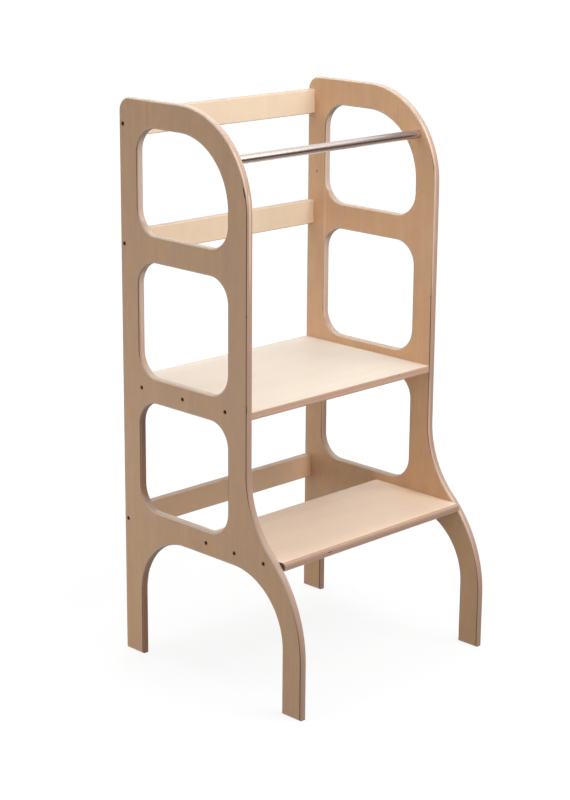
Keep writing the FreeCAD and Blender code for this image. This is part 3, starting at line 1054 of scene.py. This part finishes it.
# The floor's own glow under the object and at a distance, and where it changes, in metres
NEAR_GLOW = (0.84, 0.84, 0.84)
FAR_GLOW = (0.96, 0.96, 0.96)
NEAR_FLOOR = 0.5
FAR_FLOOR = 2.5

# The front card, a dim floor and wall that the steel mirrors: its bounds, and its two colours
# with the height over which the one at its foot fades into the other
FRONT_LEFT = 0.15
FRONT_RIGHT = 2.4
FRONT_NEAR = -0.82
FRONT_FAR = 0.1
FRONT_FOOT = 0.004
FRONT_TOP = 0.96
FADE_HEIGHT = 0.25
FRONT_LOW_GLOW = (0.40, 0.368, 0.345)
FRONT_HIGH_GLOW = (0.107, 0.072, 0.060)

# The side card, which dims the right end of the bar
SIDE_CORNERS = ((0.3, -0.42, 0.85), (0.3, 0.1, 0.85), (0.3, 0.1, 1.0), (0.3, -0.42, 1.0))
SIDE_CARD_GLOW = (0.36, 0.31, 0.285)

# The white card above the front, whose corners are given in its own plane
WHITE_PLACE = (1.1, -1.55, 2.45)
WHITE_AIM = (0.0, 0.0, 0.45)
WHITE_CORNERS = ((-1.5, -1.3, 0.0), (1.6, -1.3, 0.0), (1.6, 1.3, 0.0), (-1.5, 1.3, 0.0))
WARM_WHITE = (1.0, 0.93, 0.88)
ONE_FACE = ((0, 1, 2, 3),)


class STOOL_OT_studio(bpy.types.Operator):
    """Set up the floor, the soft light, the white world and the camera"""

    bl_idname = "stool.studio"
    bl_label = "Studio"

    def execute(self, context):
        studio = context.scene.stool_studio
        self.make_floor(studio)
        self.make_world(context, studio)
        for name, (place, aim, size) in SOFT_BOXES.items():
            self.make_soft_box(f"{name}_box", place, aim, size, getattr(studio, f"{name}_glow"))
        self.make_cards(studio)
        self.make_camera(context, studio)
        context.scene.view_settings.view_transform = "Standard"
        return {"FINISHED"}

    def make_floor(self, studio):
        half = studio.floor_size / 2
        mesh = bpy.data.meshes.new("floor")
        corners = [(-half, -half, 0), (half, -half, 0), (half, half, 0), (-half, half, 0)]
        mesh.from_pydata(corners, [], [(0, 1, 2, 3)])
        floor = link(bpy.data.objects.new("floor", mesh))
        material, maker = new_material("pale_floor")
        bounce = maker.add("ShaderNodeBsdfDiffuse", None, {"Color": FLOOR_BOUNCE})
        lit = maker.add("ShaderNodeBsdfDiffuse", None, {"Color": FLOOR_LIT})
        distance = maker.step(maker.length(maker.place()), NEAR_FLOOR, FAR_FLOOR)
        colour = maker.mix(distance, NEAR_GLOW, FAR_GLOW)
        glow = maker.add("ShaderNodeEmission", None, {"Color": colour, "Strength": 1.0})
        seen = maker.add("ShaderNodeAddShader", None, {0: lit, 1: glow})
        shader = white_to_the_camera(maker, seen, bounce)
        maker.add("ShaderNodeOutputMaterial", None, {"Surface": shader})
        mesh.materials.append(material)

    def make_world(self, context, studio):
        world = bpy.data.worlds.new("white_studio")
        world.use_nodes = True
        context.scene.world = world
        maker = Maker(world.node_tree)
        seen = maker.add("ShaderNodeBackground", None, {"Color": WHITE, "Strength": 1.0})
        soft = {"Color": WHITE, "Strength": studio.ambient}
        light = maker.add("ShaderNodeBackground", None, soft)
        shader = white_to_the_camera(maker, seen, light)
        maker.add("ShaderNodeOutputWorld", None, {"Surface": shader})

    def make_soft_box(self, name, place, aim, size, glow):
        lamp = bpy.data.lights.new(name, "AREA")
        lamp.shape = "RECTANGLE"
        lamp.size, lamp.size_y = size
        lamp.energy = WATTS * glow * lamp.size * lamp.size_y
        box = link(bpy.data.objects.new(name, lamp))
        box.matrix_world = turned_to(place, aim)
        box.visible_camera = False

    def make_cards(self, studio):
        """Cards that only shiny surfaces see, which give the steel its white and dark bands."""
        floor_and_wall = (
            (FRONT_LEFT, FRONT_FAR, FRONT_FOOT),
            (FRONT_RIGHT, FRONT_FAR, FRONT_FOOT),
            (FRONT_RIGHT, FRONT_NEAR, FRONT_FOOT),
            (FRONT_LEFT, FRONT_NEAR, FRONT_FOOT),
            (FRONT_LEFT, FRONT_NEAR, FRONT_TOP),
            (FRONT_RIGHT, FRONT_NEAR, FRONT_TOP),
        )
        two_faces = ((0, 1, 2, 3), (3, 2, 5, 4))
        self.make_card("front_card", floor_and_wall, two_faces, FRONT_LOW_GLOW, FRONT_HIGH_GLOW)
        self.make_card("side_card", SIDE_CORNERS, ONE_FACE, SIDE_CARD_GLOW, SIDE_CARD_GLOW)
        turn = turned_to(WHITE_PLACE, WHITE_AIM)
        corners = [turn @ Vector(corner) for corner in WHITE_CORNERS]
        glow = tuple(studio.sheen_glow * share for share in WARM_WHITE)
        self.make_card("white_card", corners, ONE_FACE, glow, glow)

    def make_card(self, name, corners, faces, low_glow, high_glow):
        mesh = bpy.data.meshes.new(name)
        mesh.from_pydata(corners, [], faces)
        card = link(bpy.data.objects.new(name, mesh))
        material, maker = new_material(name)
        height = maker.parts(maker.place())[2]
        colour = maker.mix(maker.step(height, 0.0, FADE_HEIGHT), low_glow, high_glow)
        shader = maker.add("ShaderNodeEmission", None, {"Color": colour, "Strength": 1.0})
        maker.add("ShaderNodeOutputMaterial", None, {"Surface": shader})
        mesh.materials.append(material)
        card.visible_camera = False
        card.visible_diffuse = False
        card.visible_transmission = False
        card.visible_shadow = False

    def make_camera(self, context, studio):
        data = bpy.data.cameras.new("camera")
        data.lens = studio.camera_lens
        data.clip_end = studio.floor_size
        camera = link(bpy.data.objects.new("camera", data))
        heading = Matrix.Rotation(-studio.camera_heading, 4, "Z")
        dip = Matrix.Rotation(math.pi / 2 - studio.camera_dip, 4, "X")
        roll = Matrix.Rotation(studio.camera_roll, 4, "Z")
        camera.matrix_world = Matrix.Translation(studio.camera_place) @ heading @ dip @ roll
        context.scene.camera = camera


# The add-on

OPERATORS = (
    STOOL_OT_side_panels,
    STOOL_OT_shelves,
    STOOL_OT_back_rails,
    STOOL_OT_hand_bar,
    STOOL_OT_dowels,
    STOOL_OT_screws,
    STOOL_OT_studio,
)


class STOOL_PT_sidebar(bpy.types.Panel):
    """The stool's pieces and its studio"""

    bl_label = "Kitchen Helper Stool"
    bl_idname = "STOOL_PT_sidebar"
    bl_space_type = "VIEW_3D"
    bl_region_type = "UI"
    bl_category = "Stool"

    def draw(self, context):
        for operator in OPERATORS:
            self.layout.operator(operator.bl_idname)


SETTINGS = {
    "stool_plywood": PlywoodSettings,
    "stool_fittings": FittingSettings,
    "stool_studio": StudioSettings,
}
CLASSES = (*SETTINGS.values(), *OPERATORS, STOOL_PT_sidebar)


def register():
    for each in CLASSES:
        bpy.utils.register_class(each)
    for name, group in SETTINGS.items():
        setattr(bpy.types.Scene, name, PointerProperty(type=group))


def unregister():
    for name in SETTINGS:
        delattr(bpy.types.Scene, name)
    for each in reversed(CLASSES):
        bpy.utils.unregister_class(each)


def main():
    register()
    for operator in OPERATORS:
        family, _, action = operator.bl_idname.partition(".")
        getattr(getattr(bpy.ops, family), action)()


if __name__ == "__main__":
    main()
